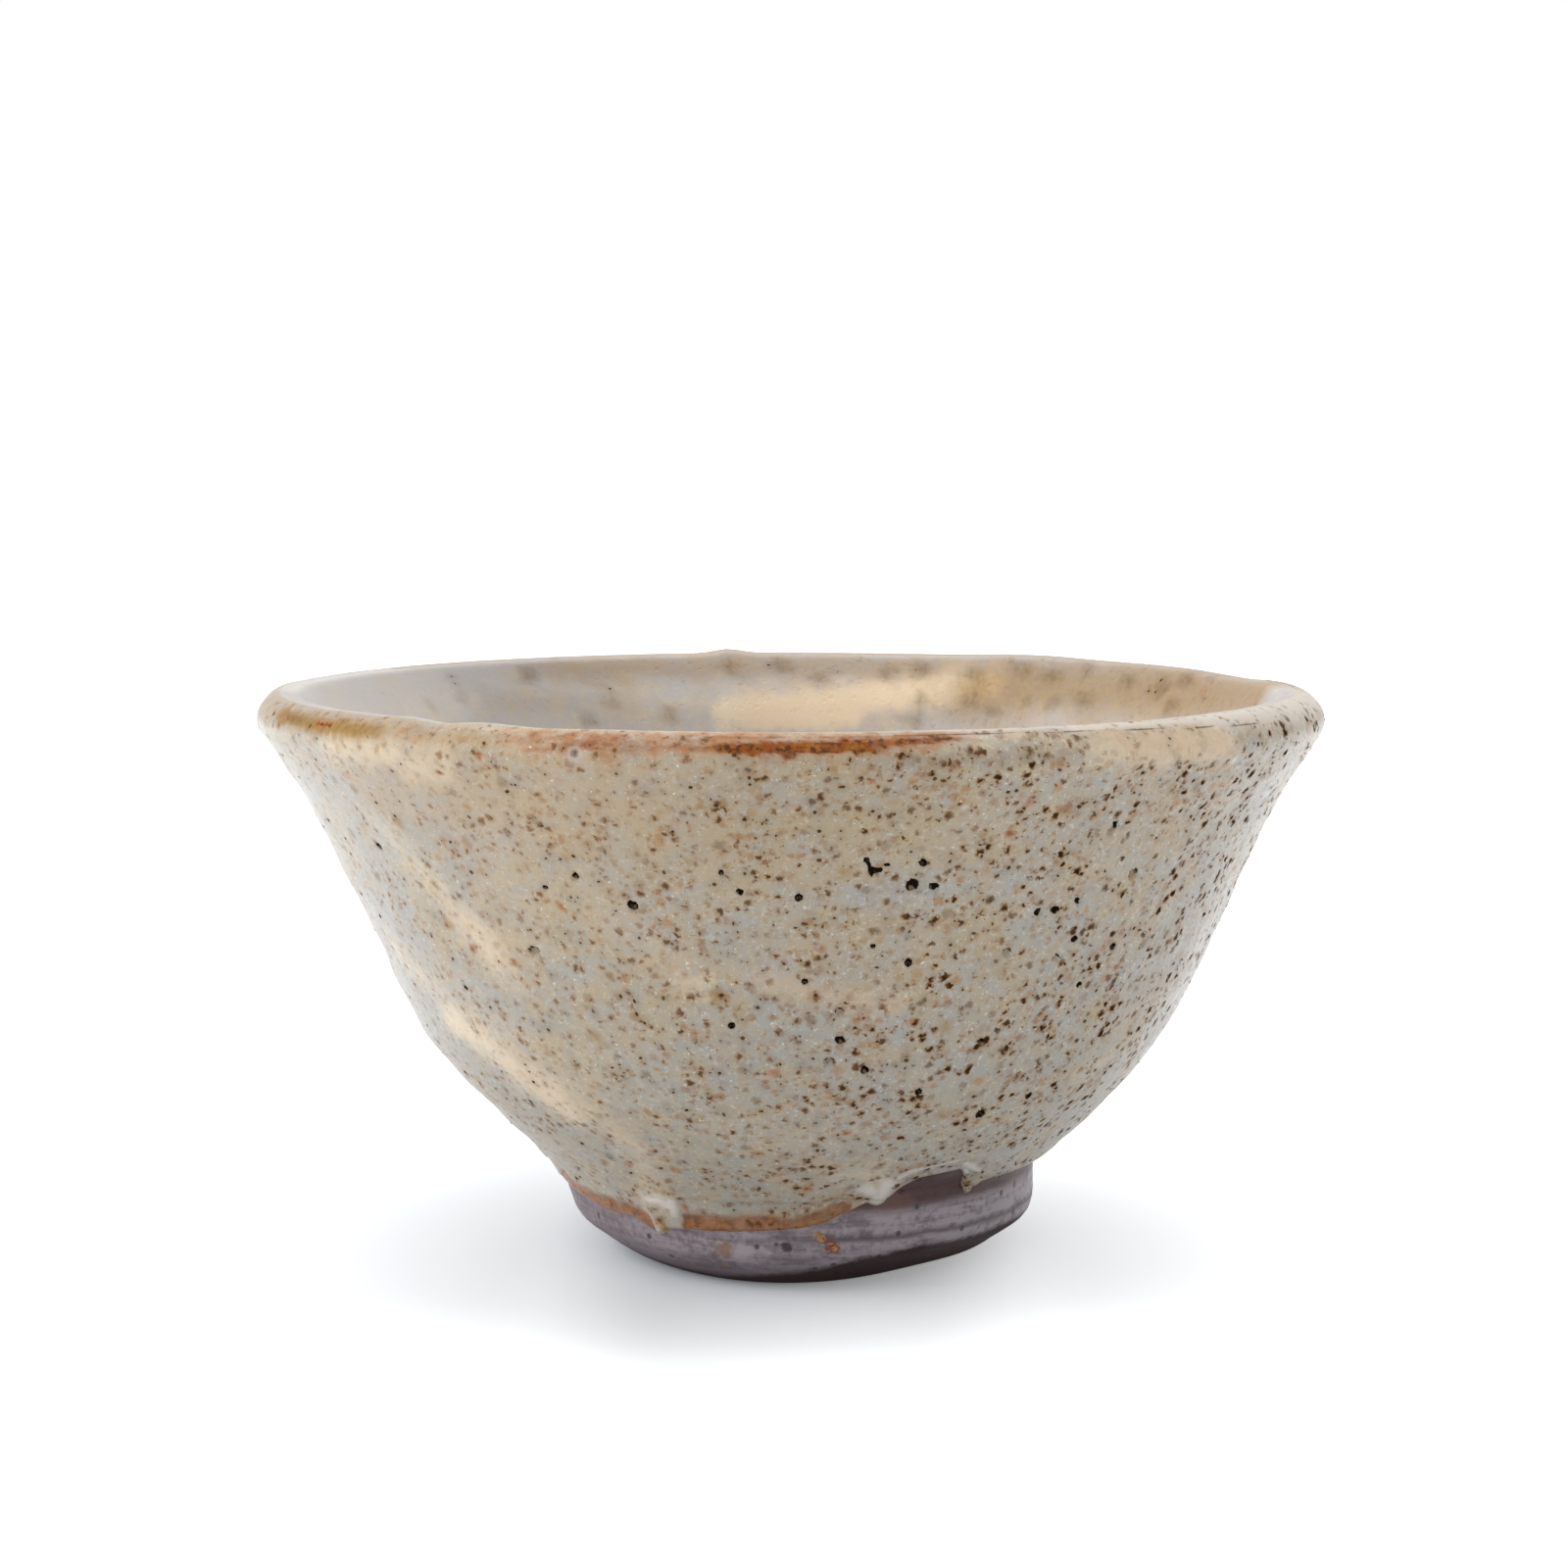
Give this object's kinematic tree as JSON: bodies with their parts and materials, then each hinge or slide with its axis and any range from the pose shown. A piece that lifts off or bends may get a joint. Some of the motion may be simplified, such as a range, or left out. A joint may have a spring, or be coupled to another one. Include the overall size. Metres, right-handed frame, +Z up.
{
  "type": "teacup",
  "caption": "Small wheel-thrown stoneware teacup with a flaring bowl, a rounded lip, a turned foot ring, brushed white slip and a speckled grey-green glaze that stops above the bare foot.",
  "frame": {"origin": "on the table, at the middle of the cup's foot: the bottom centre of its bounding box", "axes": "+Z up along the wheel axis, -Y towards the pictured side, +X to the picture's right"},
  "size_m": [0.0761, 0.076, 0.0408],
  "materials": {
    "clay": "bare iron-rich stoneware, matt, purple-brown",
    "slip": "white slip under the glaze, cream",
    "glaze": "speckled grey-green ash glaze, satin gloss"
  },
  "bodies": {
    "root": {"clay_body": "clay", "outer_slip": "slip", "inner_slip": "slip", "outer_glaze": "glaze", "inner_glaze": "glaze"}
  },
  "joints": []
}
